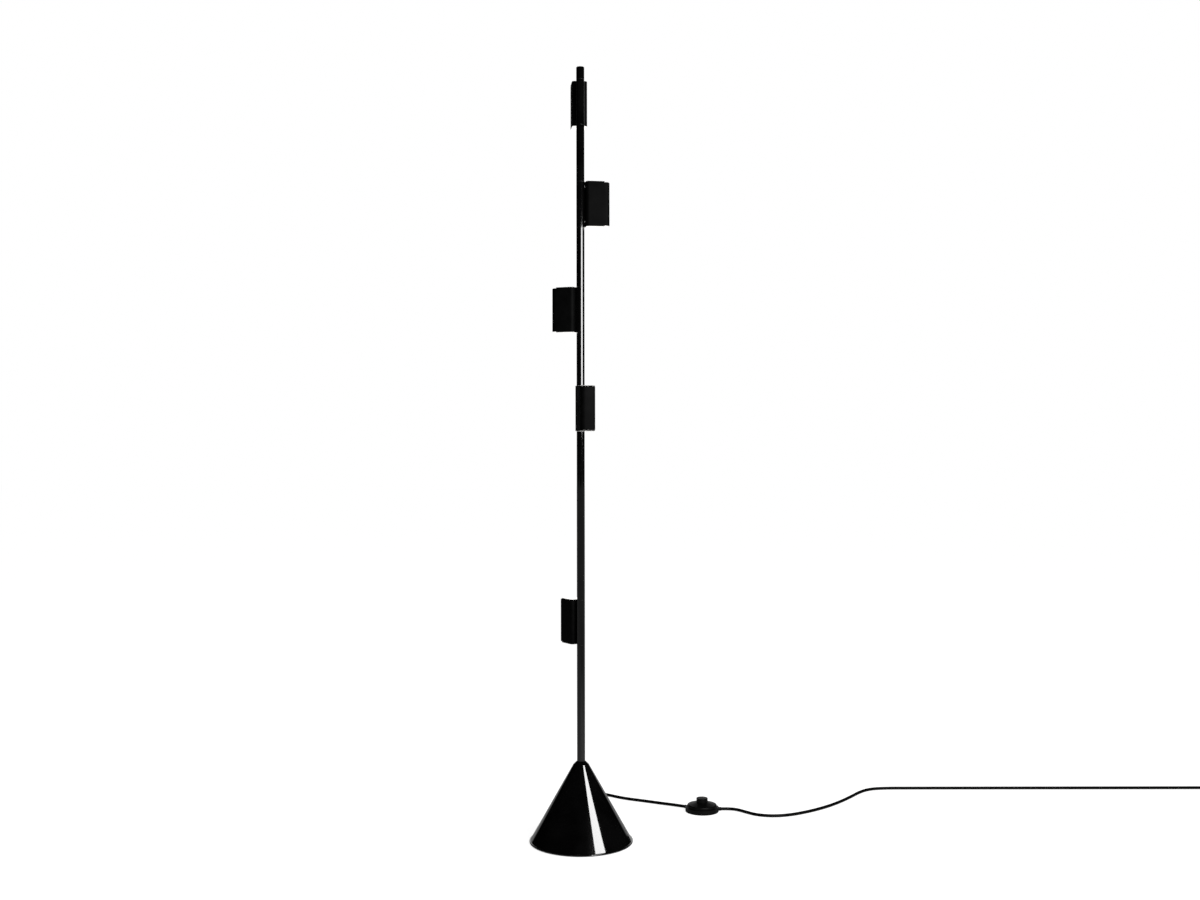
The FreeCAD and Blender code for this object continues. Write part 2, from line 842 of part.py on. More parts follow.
def head_led_boards(number):
    """A board with four emitters on each end of the heat sink."""
    body = new_body(f"head_{number}_led_board_upper")
    plan = new_sketch(body, "XY_Plane", "Board", "sink_height / 2")
    rounded_rectangle(plan, SINK_START, SINK_END, SINK_WIDTH, f"{CORNER} - head_wall - sink_gap")
    pad(body, plan, "board_thickness")
    emitters = new_sketch(body, "XY_Plane", "Emitters", "sink_height / 2 + board_thickness")
    middle = f"( ( {SINK_START} + {SINK_END} ) / 2 )"
    for x_sign in "-+":
        for y_sign in "-+":
            x = f"( {middle} {x_sign} emitter_pitch / 2 )"
            y = f"( 0 {y_sign} emitter_pitch / 2 )"
            half = "emitter_size / 2"
            block(emitters, f"{x} - {half}", f"{x} + {half}", f"{y} - {half}", f"{y} + {half}")
    pad(body, emitters, "emitter_height")
    return mirrored_pair(f"head_{number}_led_boards", body)


def head_diffusers(number):
    """An opal panel in each open end, with a cap that lies on the housing and the nose."""
    body = new_body(f"head_{number}_diffuser_upper")
    low = "( nose_height / 2 - diffuser_depth )"
    high = "( head_height / 2 + diffuser_cap )"
    cap = new_sketch(body, "XY_Plane", "Cap", "nose_height / 2")
    head_outline(cap, "diffuser_inset")
    pad(body, cap, f"{high} - nose_height / 2")
    step = new_sketch(body, "XY_Plane", "StepOverHousing", "nose_height / 2")
    block(step, "0", NOSE_START, "0 - head_width", "head_width")
    pocket_up(body, step, "( head_height - nose_height ) / 2")
    panel = new_sketch(body, "XY_Plane", "Panel", low)
    head_outline(panel, "head_wall")
    pad(body, panel, f"{high} - {low}")
    return mirrored_pair(f"head_{number}_diffusers", body)


def head_screws(number):
    """Two screws from inside the housing into the bracket's web."""
    body = new_body(f"head_{number}_screw_upper")
    section = new_sketch(body, "XZ_Plane", "Section")
    seat = "( head_start + head_wall )"
    tip = "( head_start - head_screw_bite )"
    polygon(
        section,
        (
            ("0", tip),
            ("head_screw_shank / 2", tip),
            ("head_screw_shank / 2", seat),
            ("head_screw_head / 2", seat),
            ("head_screw_head / 2", f"{seat} + head_screw_cap"),
            ("0", f"{seat} + head_screw_cap"),
        ),
    )
    revolve(body, section)
    body.Placement = Placement(Vector(0, 0, 0), Rotation(Vector(0, 1, 0), 90))
    bind(body, "Placement.Base.z", "head_screw_spacing / 2")
    return mirrored_pair(f"head_{number}_screws", body)


HEAD_PIECES = (
    ("bracket", head_bracket),
    ("shell", head_shell),
    ("nose", head_nose),
    ("heat_sink", head_heat_sink),
    ("led_boards", head_led_boards),
    ("diffusers", head_diffusers),
    ("screws", head_screws),
)


def head(number):
    """All pieces of one head, lifted to its height and turned to its direction."""
    for name, make in HEAD_PIECES:
        piece = make(number)
        lift(piece, head_middle(number))
        bind(piece, "Placement.Rotation.Angle", f"head_{number}_turn - 90")
        subpart(piece, f"head_{number}_{name}")


# ----------------------------------------------------------------- foot switch
def switch_direction(angle):
    return Vector(math.cos(math.radians(angle)), math.sin(math.radians(angle)), 0)


def switch_stub_end(angle):
    """Where the cord meets the face of a stub of the foot switch."""
    out = value("switch_diameter / 2 + switch_stub")
    centre = Vector(*SWITCH_CENTRE, value("switch_entry_height"))
    return centre + switch_direction(angle) * out


def switch_base():
    """Round lower housing with a stub on each side where the cord goes in and out."""
    rim = "switch_diameter / 2"
    body = turned(
        "switch_base",
        (
            ("0", "0"),
            (rim, "0"),
            (rim, "switch_band"),
            (f"{rim} - switch_wall", "switch_band"),
            (f"{rim} - switch_wall", "switch_wall"),
            ("0", "switch_wall"),
        ),
    )
    round_rings(body, "switch_foot_round", ((rim, "0"),))
    for index, angle in enumerate((SWITCH_ENTRY_ANGLE, SWITCH_EXIT_ANGLE), start=1):
        stub = body.newObject("PartDesign::AdditiveCylinder", f"Stub{index}")
        bind(stub, "Radius", "switch_stub_diameter / 2")
        bind(stub, "Height", "switch_stub + switch_wall / 2")
        out = switch_direction(angle)
        reach = "( switch_diameter / 2 - switch_wall / 2 )"
        place = (f"{reach} * {out.x:.12f}", f"{reach} * {out.y:.12f}", "switch_entry_height")
        seat(stub, body, place, Rotation(Vector(0, 0, 1), out))
    return body


def switch_cover():
    """Upper housing: a low step, a round shoulder and a dome with a hole for the button."""
    hole = "( button_diameter / 2 + button_gap )"
    shoulder = "switch_shoulder / 2"
    inside = f"( {shoulder} - switch_wall )"
    body = turned(
        "switch_cover",
        (
            ("switch_diameter / 2", "switch_band"),
            (f"{shoulder} + switch_step_slope", "switch_band + switch_step_height"),
            (shoulder, "switch_shoulder_height"),
            (hole, "switch_crown_height"),
            (hole, "switch_crown_height - switch_wall"),
            (inside, "switch_shoulder_height - switch_wall"),
            (inside, "switch_band"),
        ),
    )
    round_rings(body, "switch_shoulder_round", ((shoulder, "switch_shoulder_height"),))
    return body


def switch_button():
    """Push button, slightly domed, with a flange that keeps it under the cover."""
    side = "button_diameter / 2"
    flange_top = "( switch_crown_height - switch_wall - 2 * button_gap )"
    flange = f"( {side} + button_gap + button_lip )"
    body = turned(
        "switch_button",
        (
            ("0", f"{flange_top} - button_flange"),
            (flange, f"{flange_top} - button_flange"),
            (flange, flange_top),
            (side, flange_top),
            (side, "button_top - button_dome"),
            ("0", "button_top"),
        ),
    )
    round_rings(body, "button_round", ((side, "button_top - button_dome"),))
    return body


# ----------------------------------------------------------------- mains cord
def corner_arc(before, corner, after):
    """The arc that rounds one corner of a cord: its two ends, its middle and its radius."""
    first, second = before - corner, after - corner
    shorter = min(first.Length, second.Length)
    turn = math.pi - first.getAngle(second)
    reach = 0.45 * shorter
    radius = reach / math.tan(turn / 2)
    first.normalize()
    second.normalize()
    inward = first + second
    inward.normalize()
    middle = corner + inward * (radius / math.cos(turn / 2) - radius)
    return corner + first * reach, middle, corner + second * reach, radius


def cord_path(label, points):
    """Straight runs joined by tangent arcs through the route's points."""
    edges = []
    here = points[0]
    radii = []
    for before, corner, after in zip(points, points[1:], points[2:]):
        start, middle, end, radius = corner_arc(before, corner, after)
        edges.append(Part.LineSegment(here, start).toShape())
        edges.append(Part.Arc(start, middle, end).toShape())
        here = end
        radii.append(radius)
    edges.append(Part.LineSegment(here, points[-1]).toShape())
    print(label, "bend radii:", " ".join(f"{radius:.0f}" for radius in radii))
    return Part.Wire(edges)


def cord_tube(label, path):
    """A round tube of the cord's diameter along a path, checked against its length."""
    radius = value("cord_diameter") / 2
    start = path.OrderedEdges[0]
    along = start.tangentAt(start.FirstParameter)
    ring = Part.Wire([Part.Circle(start.valueAt(start.FirstParameter), along, radius).toShape()])
    solid = path.makePipeShell([ring], True, False)
    section = math.pi * radius**2
    share = solid.Volume / (section * path.Length)
    print(label, f"length {path.Length:.1f} mm, volume over section times length {share:.5f}")
    feature = doc.addObject("Part::Feature", label)
    feature.Shape = solid
    return feature


def arc_from(start, tangent, end):
    """The arc that leaves start along tangent and ends at end."""
    chord = end - start
    half_turn = tangent.getAngle(chord)
    side = tangent - chord * (tangent.dot(chord) / chord.dot(chord))
    side.normalize()
    middle = start + chord * 0.5 + side * (chord.Length / 2 * math.tan(half_turn / 2))
    return Part.Arc(start, middle, end).toShape()


def biarc(start, start_tangent, end, end_tangent):
    """Two arcs that join two points and keep both directions."""
    chord = end - start
    total = start_tangent + end_tangent
    spread = 2 * (1 - start_tangent.dot(end_tangent))
    product = chord.dot(total)
    reach = (math.sqrt(product**2 + spread * chord.dot(chord)) - product) / spread
    middle = (start + end + (start_tangent - end_tangent) * reach) * 0.5
    back = arc_from(end, end_tangent * -1, middle)
    return [arc_from(start, start_tangent, middle), Part.Arc(middle, back.valueAt(
        (back.FirstParameter + back.LastParameter) / 2), end).toShape()]


COIL_LAYER_TURNS = 2.375
COIL_CLIMB_TURNS = 0.5
COIL_STEP = 0.25
COIL_TAIL = 32.0


def coil_total_turns():
    return 2 * COIL_LAYER_TURNS + COIL_CLIMB_TURNS


def coil_point(turns, centre):
    """A point of the coil's centreline after so many turns, wound clockwise from the rear."""
    outer = value("coil_outer_radius")
    pitch = value("coil_turn_pitch")
    rise = value("coil_layer_pitch")
    climb_end = COIL_LAYER_TURNS + COIL_CLIMB_TURNS
    if turns <= COIL_LAYER_TURNS:
        radius, height = outer - pitch * turns, 0.0
    elif turns >= climb_end:
        radius, height = outer - pitch * (coil_total_turns() - turns), rise
    else:
        share = (turns - COIL_LAYER_TURNS) / COIL_CLIMB_TURNS
        inner = outer - pitch * COIL_LAYER_TURNS
        dip = pitch * COIL_CLIMB_TURNS / math.pi
        radius = inner - dip * math.sin(math.pi * share)
        height = rise * (1 - math.cos(math.pi * share)) / 2
    angle = math.pi / 2 - 2 * math.pi * turns
    return centre + Vector(radius * math.cos(angle), radius * math.sin(angle), height)


def coil_centre():
    wall_line = RUN_ROUTE[-1][1]
    return Vector(COIL_CENTRE_X, wall_line - value("coil_outer_radius"), CORD_FLOOR)


def coil_direction(turns, centre):
    step = 1e-4
    total = coil_total_turns()
    low, high = max(turns - step, 0), min(turns + step, total)
    direction = coil_point(high, centre) - coil_point(low, centre)
    direction.normalize()
    return direction


def coil_gap(path, diameter):
    """The least gap between two turns, measured on points of the centreline."""
    points = path.discretize(Number=int(path.Length / 3))
    apart = int(4 * diameter / 3)
    least = min(
        (points[i] - points[j]).Length
        for i in range(len(points))
        for j in range(i + apart, len(points))
    )
    return least - diameter


def coil_ends():
    """The cord's points where the coil begins, one diameter early, and where its tail ends."""
    centre = coil_centre()
    total = coil_total_turns()
    diameter = value("cord_diameter")
    start = coil_point(0, centre) - coil_direction(0, centre) * diameter
    end = coil_point(total, centre) + coil_direction(total, centre) * COIL_TAIL
    return start, end


def cord_coil():
    """Spare cord wound in two layers, in on the floor and out again on top."""
    centre = coil_centre()
    start, end = coil_ends()
    total = coil_total_turns()
    places = [step * COIL_STEP for step in range(round(total / COIL_STEP) + 1)]
    points = [coil_point(turns, centre) for turns in places]
    ways = [coil_direction(turns, centre) for turns in places]
    edges = [Part.LineSegment(start, points[0]).toShape()]
    for index in range(len(places) - 1):
        edges += biarc(points[index], ways[index], points[index + 1], ways[index + 1])
    edges.append(Part.LineSegment(points[-1], end).toShape())
    path = Part.Wire(edges)
    print("cord_coil", f"least gap between turns {coil_gap(path, value('cord_diameter')):.2f} mm")
    return cord_tube("cord_coil", path)


def gland_tip():
    return Vector(0, value(f"{GLAND_SEAT} + gland_flange_thickness + gland_taper"), value("gland_height"))


def cord_lead():
    """From the gland behind the base, round behind it and forward to the foot switch."""
    entry = switch_stub_end(SWITCH_ENTRY_ANGLE)
    approach = entry + switch_direction(SWITCH_ENTRY_ANGLE) * ENTRY_RUN
    points = [gland_tip()]
    points += [Vector(*place) for place in LEAD_ROUTE]
    points += [approach, entry]
    return cord_tube("cord_lead", cord_path("cord_lead", points))


def cord_run():
    """From the foot switch forward, round to the wall and straight along it."""
    leave = switch_stub_end(SWITCH_EXIT_ANGLE)
    away = leave + switch_direction(SWITCH_EXIT_ANGLE) * EXIT_RUN
    points = [leave, away]
    points += [Vector(*place) for place in RUN_ROUTE]
    points.append(coil_ends()[0])
    return cord_tube("cord_run", cord_path("cord_run", points))


def plug_body():
    """Two-pin plug with a tapered neck, drawn with +Z out of its face."""
    body = new_body("plug_body")
    face = new_sketch(body, "XY_Plane", "Face")
    rounded_rectangle(face, "0 - plug_width / 2", "plug_width / 2", "plug_thickness", "plug_corner")
    main = body.newObject("PartDesign::Pad", "Main")
    main.Profile = face
    bind(main, "Length", "plug_body_length")
    shoulder = new_sketch(body, "XY_Plane", "Shoulder")
    rounded_rectangle(
        shoulder, "0 - plug_width / 2", "plug_width / 2", "plug_thickness", "plug_corner"
    )
    neck = new_sketch(body, "XY_Plane", "Neck", "0 - plug_neck_length")
    rounded_rectangle(
        neck, "0 - plug_neck / 2", "plug_neck / 2", "plug_neck", "plug_neck * 0.45"
    )
    taper = body.newObject("PartDesign::AdditiveLoft", "Taper")
    taper.Profile = shoulder
    taper.Sections = [neck]
    round_face_rim(body, "plug_round", "plug_body_length")
    return body


def plug_pins():
    pins = []
    for name, side in (("left", "0 -"), ("right", "")):
        pin = turned(
            f"plug_pin_{name}",
            (
                ("0", "0"),
                ("pin_diameter / 2", "0"),
                ("pin_diameter / 2", "pin_length - pin_diameter / 4"),
                ("pin_diameter / 4", "pin_length"),
                ("0", "pin_length"),
            ),
        )
        bind(pin, "Placement.Base.x", f"{side} pin_spacing / 2")
        pins.append(pin)
    return group("plug_pins", pins)


def place_plug(piece, forward):
    """Lay a piece of the plug at the coil's free end, pointing along it."""
    end = coil_ends()[1]
    piece.Placement = Placement(end + Vector(0, -forward, 0), Rotation(Vector(1, 0, 0), 90))


# ------------------------------------------------------------------- assembly
subpart(floor_pad(), "floor_pad")
plate = base_plate()
countersinks(plate)
subpart(plate, "base_plate")
subpart(base_screws(), "base_screws")
subpart(stem_hub(), "stem_hub")
subpart(ballast(), "ballast_weight")
subpart(cone_shell(), "cone_shell")
subpart(cable_gland(), "cable_gland")
subpart(led_driver(), "led_driver")

subpart(core_tube(), "core_tube")
for index, section in enumerate(pole_sections(), start=1):
    subpart(section, f"pole_section_{index}")
subpart(pole_finial(), "pole_finial")
subpart(friction_washers(), "friction_washers")
subpart(wiring_harness(), "wiring_harness")

for number in range(1, len(HEADS) + 1):
    head(number)

for piece in (switch_base(), switch_cover(), switch_button()):
    piece.Placement = Placement(Vector(*SWITCH_CENTRE, 0), Rotation())
    subpart(piece, piece.Label)

subpart(cord_lead(), "cord_lead")
subpart(cord_run(), "cord_run")
subpart(cord_coil(), "cord_coil")
plug = plug_body()
place_plug(plug, value("plug_neck_length"))
subpart(plug, "plug_body")
pins = plug_pins()
place_plug(pins, value("plug_neck_length + plug_body_length"))
subpart(pins, "plug_pins")

# --------------------------------------------------------------------- output
doc.recompute()
faults = [thing.Label for thing in doc.Objects if {"Invalid", "Error"} & set(thing.State)]
faults += [
    piece.Label for piece in subparts if piece.Shape.isNull() or not piece.Shape.isValid()
]
if faults:
    raise RuntimeError("these pieces did not build: " + ", ".join(faults))
for piece in subparts:
    piece.Shape.exportStep(f"parts/{piece.Label}.step")
print(len(subparts), "sub-parts written")
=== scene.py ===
import json
import math

import bmesh
import bpy
from mathutils import Matrix, Vector


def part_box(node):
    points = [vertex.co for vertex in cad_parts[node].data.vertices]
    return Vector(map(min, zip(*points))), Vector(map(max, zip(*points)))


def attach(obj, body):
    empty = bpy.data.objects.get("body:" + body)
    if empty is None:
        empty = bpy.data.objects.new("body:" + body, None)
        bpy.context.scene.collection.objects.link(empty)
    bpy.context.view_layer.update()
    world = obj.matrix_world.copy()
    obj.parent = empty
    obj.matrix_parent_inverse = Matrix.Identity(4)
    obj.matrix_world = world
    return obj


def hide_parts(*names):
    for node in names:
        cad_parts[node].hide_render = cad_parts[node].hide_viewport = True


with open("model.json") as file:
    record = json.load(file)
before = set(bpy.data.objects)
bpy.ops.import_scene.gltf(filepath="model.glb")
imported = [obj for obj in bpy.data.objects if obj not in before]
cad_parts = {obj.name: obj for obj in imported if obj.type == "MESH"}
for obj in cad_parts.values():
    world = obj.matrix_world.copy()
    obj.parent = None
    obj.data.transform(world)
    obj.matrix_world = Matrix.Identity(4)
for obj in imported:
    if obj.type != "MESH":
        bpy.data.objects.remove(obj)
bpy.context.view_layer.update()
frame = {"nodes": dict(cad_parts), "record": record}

NODES = frame["nodes"]
MM = 0.001


def add_object(name, data):
    thing = bpy.data.objects.new(name, data)
    bpy.context.scene.collection.objects.link(thing)
    return thing


# ---------------------------------------------------------------------- camera
# The photograph's viewpoint: in front of the pole, a little to its right, at about the
# height of the middle of the lamp, looking almost level.
CAMERA_PLACE = Vector((38.2, -2670.0, 796.0)) * MM
CAMERA_DOWN = 0.42
CAMERA_ROLL = 0.07
CAMERA_LENS = 40.5
SENSOR_WIDTH = 36.0
CLIP_START = 0.05
CLIP_END = 100.0

camera_data = bpy.data.cameras.new("camera")
camera_data.lens = CAMERA_LENS
camera_data.sensor_width = SENSOR_WIDTH
camera_data.sensor_fit = "HORIZONTAL"
camera_data.clip_start = CLIP_START
camera_data.clip_end = CLIP_END
camera = add_object("camera", camera_data)
camera.location = CAMERA_PLACE
camera.rotation_euler = (math.radians(90.0 - CAMERA_DOWN), math.radians(CAMERA_ROLL), 0.0)
bpy.context.scene.camera = camera
bpy.context.scene.view_settings.view_transform = "Standard"


# ------------------------------------------------------------- material helpers
MOTTLE_SCALE = 60.0
MOTTLE_STOPS = (0.35, 0.65)
SHEEN_SCALE = 22.0
GRAIN_STRENGTH = 0.35


def new_material(name):
    material = bpy.data.materials.new(name)
    material.use_nodes = True
    tree = material.node_tree
    shader = next(n for n in tree.nodes if n.type == "BSDF_PRINCIPLED")
    return material, tree, shader


def object_coordinates(tree, scale=(1.0, 1.0, 1.0)):
    coordinates = tree.nodes.new("ShaderNodeTexCoord")
    mapping = tree.nodes.new("ShaderNodeMapping")
    mapping.inputs["Scale"].default_value = scale
    tree.links.new(coordinates.outputs["Object"], mapping.inputs["Vector"])
    return mapping.outputs["Vector"]


def noise(tree, vector, scale, detail=3.0):
    node = tree.nodes.new("ShaderNodeTexNoise")
    node.inputs["Scale"].default_value = scale
    node.inputs["Detail"].default_value = detail
    tree.links.new(vector, node.inputs["Vector"])
    return node.outputs["Fac"]


def ramp(tree, value, places, colours):
    """A colour ramp between two greys or colours at two places."""
    node = tree.nodes.new("ShaderNodeValToRGB")
    for element, place, colour in zip(node.color_ramp.elements, places, colours):
        element.position = place
        rgb = colour if isinstance(colour, tuple) else (colour,) * 3
        element.color = (*rgb, 1.0)
    tree.links.new(value, node.inputs["Fac"])
    return node.outputs["Color"]


def spread(tree, value, low, high):
    """The value, from 0 to 1, mapped to the range from low to high."""
    node = tree.nodes.new("ShaderNodeMapRange")
    node.inputs["To Min"].default_value = low
    node.inputs["To Max"].default_value = high
    tree.links.new(value, node.inputs["Value"])
    return node.outputs["Result"]


def bump(tree, shader, height, strength, distance):
    node = tree.nodes.new("ShaderNodeBump")
    node.inputs["Strength"].default_value = strength
    node.inputs["Distance"].default_value = distance
    tree.links.new(height, node.inputs["Height"])
    tree.links.new(node.outputs["Normal"], shader.inputs["Normal"])


def grained(name, dark, light, rough, grain_scale, grain_depth, specular=0.5):
    """A material with a mottled colour, an uneven sheen and a fine grain."""
    material, tree, shader = new_material(name)
    vector = object_coordinates(tree)
    mottle = noise(tree, vector, MOTTLE_SCALE)
    colour = ramp(tree, mottle, MOTTLE_STOPS, (dark, light))
    tree.links.new(colour, shader.inputs["Base Color"])
    sheen = noise(tree, vector, SHEEN_SCALE, detail=2.0)
    tree.links.new(spread(tree, sheen, *rough), shader.inputs["Roughness"])
    grain = noise(tree, vector, grain_scale, detail=2.0)
    bump(tree, shader, grain, GRAIN_STRENGTH, grain_depth)
    shader.inputs["Specular IOR Level"].default_value = specular
    return material


def gloss_lacquer():
    """Black lacquer under a clear coat, with a trace of orange peel."""
    material, tree, shader = new_material("gloss_black_lacquer")
    vector = object_coordinates(tree)
    mottle = noise(tree, vector, scale=18.0)
    colour = ramp(tree, mottle, places=(0.4, 0.6), colours=(0.0012, 0.0024))
    tree.links.new(colour, shader.inputs["Base Color"])
    haze = noise(tree, vector, scale=9.0, detail=4.0)
    tree.links.new(spread(tree, haze, low=0.05, high=0.11), shader.inputs["Roughness"])
    peel = noise(tree, vector, scale=260.0, detail=1.0)
    bump(tree, shader, peel, strength=0.05, distance=0.0001)
    shader.inputs["Specular IOR Level"].default_value = 0.2
    shader.inputs["Coat Weight"].default_value = 1.0
    shader.inputs["Coat Roughness"].default_value = 0.03
    shader.inputs["Coat IOR"].default_value = 1.5
    return material


def opal():
    """White plastic with the light on behind it."""
    material, tree, shader = new_material("lit_opal_plastic")
    vector = object_coordinates(tree)
    cloud = noise(tree, vector, scale=35.0, detail=1.0)
    tints = ((1.0, 0.985, 0.955), (1.0, 0.995, 0.98))
    glow = ramp(tree, cloud, places=(0.3, 0.7), colours=tints)
    tree.links.new(glow, shader.inputs["Emission Color"])
    shader.inputs["Base Color"].default_value = (0.9, 0.89, 0.86, 1.0)
    shader.inputs["Emission Strength"].default_value = 0.85
    frost = noise(tree, vector, scale=400.0, detail=1.0)
    tree.links.new(spread(tree, frost, low=0.4, high=0.55), shader.inputs["Roughness"])
    bump(tree, shader, frost, strength=0.1, distance=0.0001)
    return material


def brushed(name, dark, light):
    """Metal with fine lines along its length."""
    material, tree, shader = new_material(name)
    vector = object_coordinates(tree, scale=(900.0, 900.0, 14.0))
    lines = noise(tree, vector, scale=1.0)
    colour = ramp(tree, lines, places=(0.3, 0.7), colours=(dark, light))
    tree.links.new(colour, shader.inputs["Base Color"])
    tree.links.new(spread(tree, lines, low=0.22, high=0.42), shader.inputs["Roughness"])
    bump(tree, shader, lines, strength=0.1, distance=0.00005)
    shader.inputs["Metallic"].default_value = 1.0
    return material


# For the grained ones: darkest and lightest grey, range of roughness, scale and depth of
# the grain, and the specular level where it isn't the usual one. The blacks are darker
# than real paint, to match a photograph that reads pure black.
LACQUER = gloss_lacquer()
MATTE = grained("matte_black_powder_coat", 0.0006, 0.0014, (0.62, 0.74), 2600.0, 0.00012, 0.06)
OPAL = opal()
STEEL = brushed("brushed_steel", (0.42, 0.42, 0.43), (0.6, 0.6, 0.61))
ALUMINIUM = brushed("clear_anodised_aluminium", (0.62, 0.62, 0.64), (0.8, 0.8, 0.81))
PINS = brushed("nickel_plated_pins", (0.62, 0.6, 0.55), (0.78, 0.76, 0.71))
BALLAST = grained("cast_iron", 0.03, 0.075, (0.6, 0.85), 500.0, 0.0006)
BOARD = grained("board_solder_mask", 0.74, 0.82, (0.35, 0.45), 900.0, 0.00003)
DRIVER = grained("white_moulding", 0.72, 0.8, (0.4, 0.5), 1500.0, 0.00005)
RUBBER = grained("black_rubber", 0.0015, 0.0035, (0.66, 0.8), 1400.0, 0.0001, 0.12)
SHEATH = grained("black_cord_sheath", 0.001, 0.0025, (0.42, 0.55), 1800.0, 0.00006, 0.12)
MOULDING = grained(
    "black_fine_textured_plastic", 0.001, 0.0025, (0.4, 0.52), 2200.0, 0.00008, 0.15
)
NYLON = grained("black_nylon", 0.006, 0.012, (0.4, 0.5), 1200.0, 0.00005)
WIRE = grained("silicone_insulation", 0.5, 0.62, (0.45, 0.6), 900.0, 0.00005)

SLOT_MATERIALS = {
    "pole_black": LACQUER,
    "head_black": MATTE,
    "opal": OPAL,
    "steel": STEEL,
    "ballast": BALLAST,
    "aluminium": ALUMINIUM,
    "board": BOARD,
    "driver": DRIVER,
    "rubber_black": RUBBER,
    "cord_black": SHEATH,
    "plastic_black": MOULDING,
    "pins": PINS,
    "nylon": NYLON,
    "wire": WIRE,
}


def dress(thing, material):
    if not thing.data.materials:
        thing.data.materials.append(material)
    for index in range(len(thing.data.materials)):
        thing.data.materials[index] = material


for part in frame["record"]["subparts"]:
    dress(NODES[part["node"]], SLOT_MATERIALS[part["material_slot"]])


# ----------------------------------------------------------------- light heads
# Sizes in millimetres. Each head is drawn about its own middle, with +X pointing away
# from the pole. HEADS has the height of each middle above the floor and the direction in
# degrees: 0 is towards the viewer, 90 to the right.
HEADS = ((1463.1, 186.2), (1261.5, 99.0), (1053.7, 248.5), (858.1, 17.1), (435.7, 213.8))
HEAD_START = 10.0
HEAD_REACH = 57.2
HEAD_WIDTH = 30.2
HEAD_SEAM = 46.0
HEAD_WALL = 1.5
REAR_CORNER = 6.0
FRONT_CORNER = 9.0
CORNER_STEPS = 8
HOUSING_HALF = 44.45
HOUSING_EDGE = (0.3, 0.3)
NOSE_HALF = 42.9
NOSE_EDGE = (1.2, 2.2)
EDGE_STEPS = 4
PANEL_LOW = 39.9
PANEL_INSET = 1.6
RIM_COVER = 0.08
HOUSING_COVER_INSET = 0.4
NOSE_COVER_INSET = 1.25
BAR_START = HEAD_SEAM - HEAD_WALL
SHARP_ANGLE = 32.0


def corner(x, y, radius, start):
    """Points of a quarter turn, clockwise from the start angle, in degrees."""
    turns = [math.radians(start - 90.0 * step / CORNER_STEPS) for step in range(CORNER_STEPS + 1)]
    return [(x + radius * math.cos(turn), y + radius * math.sin(turn)) for turn in turns]


def rear_path(inset, seam=HEAD_SEAM):
    """The housing's plan from seam to seam round the side next to the pole."""
    half = HEAD_WIDTH / 2 - inset
    radius = REAR_CORNER - inset
    x = HEAD_START + REAR_CORNER
    path = [(seam, -half)]
    path += corner(x, -half + radius, radius, 270.0)
    path += corner(x, half - radius, radius, 180.0)
    return [*path, (seam, half)]


def front_path(inset, seam=HEAD_SEAM):
    """The nose's plan from seam to seam round the side away from the pole."""
    half = HEAD_WIDTH / 2 - inset
    radius = FRONT_CORNER - inset
    x = HEAD_REACH - FRONT_CORNER
    path = [(seam, half)]
    path += corner(x, half - radius, radius, 90.0)
    path += corner(x, -half + radius, radius, 0.0)
    return [*path, (seam, -half)]


def stack(form, layers, flip):
    """Add a closed solid to the form: outlines one above the other, as (height, points)."""
    rings = [[form.verts.new((x, y, flip * z)) for x, y in points] for z, points in layers]
    count = len(rings[0])
    for low, high in zip(rings, rings[1:]):
        for index in range(count):
            following = (index + 1) % count
            form.faces.new((low[index], low[following], high[following], high[index]))
    form.faces.new(rings[0])
    form.faces.new(rings[-1])


def wall_layers(path, half, edge):
    """The open wall along a path, with both of its outer edges rounded."""
    inset, depth = edge
    turns = [math.pi / 2 * step / EDGE_STEPS for step in range(EDGE_STEPS + 1)]
    upper = [(half - depth * (1 - math.sin(turn)), inset * (1 - math.cos(turn))) for turn in turns]
    levels = [(-z, drawn) for z, drawn in reversed(upper)] + upper
    inner = path(HEAD_WALL)[::-1]
    return [(z, path(drawn) + inner) for z, drawn in levels]


def panel_layers(path, half, cover_inset, seam):
    """One end panel, from its underside to the thin cover over the wall's rim."""
    levels = (
        (PANEL_LOW, PANEL_INSET, seam),
        (half, PANEL_INSET, seam),
        (half, cover_inset, HEAD_SEAM),
        (half + RIM_COVER, cover_inset, HEAD_SEAM),
    )
    return [(z, path(drawn, end)) for z, drawn, end in levels]


def bar_layers():
    """The housing's cross bar, which closes the step between housing and nose."""
    half = HEAD_WIDTH / 2 - HEAD_WALL
    plan = [(BAR_START, -half), (HEAD_SEAM, -half), (HEAD_SEAM, half), (BAR_START, half)]
    return [(PANEL_LOW, plan), (HOUSING_HALF, plan)]


def head_piece(number, name, node, material, solids):
    """A piece of one head, set at its height and turned to its direction."""
    height, direction = HEADS[number - 1]
    form = bmesh.new()
    for layers, flip in solids:
        stack(form, layers, flip)
    bmesh.ops.recalc_face_normals(form, faces=form.faces[:])
    turn = Matrix.Rotation(math.radians(direction - 90.0), 4, "Z")
    place = Matrix.Translation((0.0, 0.0, height)) @ turn
    bmesh.ops.transform(form, matrix=Matrix.Scale(MM, 4) @ place, verts=form.verts[:])
    mesh = bpy.data.meshes.new(name)
    form.to_mesh(mesh)
    form.free()
    mesh.polygons.foreach_set("use_smooth", [True] * len(mesh.polygons))
    mesh.set_sharp_from_angle(angle=math.radians(SHARP_ANGLE))
    mesh.materials.append(material)
    thing = add_object(name, mesh)
    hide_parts(node)
    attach(thing, f"head_{number}")


